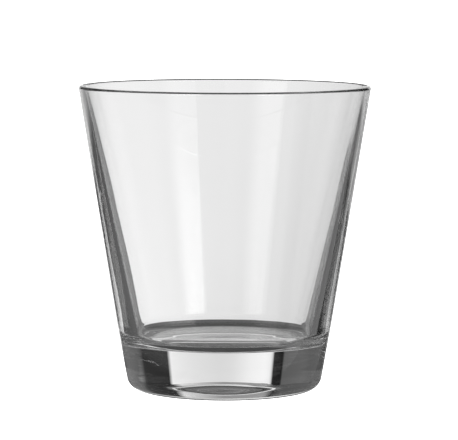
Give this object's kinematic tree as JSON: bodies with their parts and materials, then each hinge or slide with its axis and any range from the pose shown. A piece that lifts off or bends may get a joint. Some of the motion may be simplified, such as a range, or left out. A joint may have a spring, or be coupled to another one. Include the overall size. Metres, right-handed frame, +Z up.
{
  "type": "whisky glass",
  "caption": "Clear conical whisky tumbler with a straight flared wall, rounded lip, heavy solid base and hollowed underside; holds a drink and stands on a flat foot ring.",
  "frame": {"origin": "centre of the foot ring, on the surface that the glass stands on", "axes": "+Z up along the glass's axis, from the foot to the lip; X and Y lie in the table and are alike"},
  "size_m": [0.0862, 0.0862, 0.09],
  "materials": {
    "clear_glass": "colourless soda-lime glass, clear and bright, fire-polished at the lip, with faint flow lines in the thick base"
  },
  "bodies": {
    "root": {"foot_ring": "clear_glass", "heavy_base": "clear_glass", "bowl_wall": "clear_glass", "rim_lip": "clear_glass"}
  },
  "joints": []
}
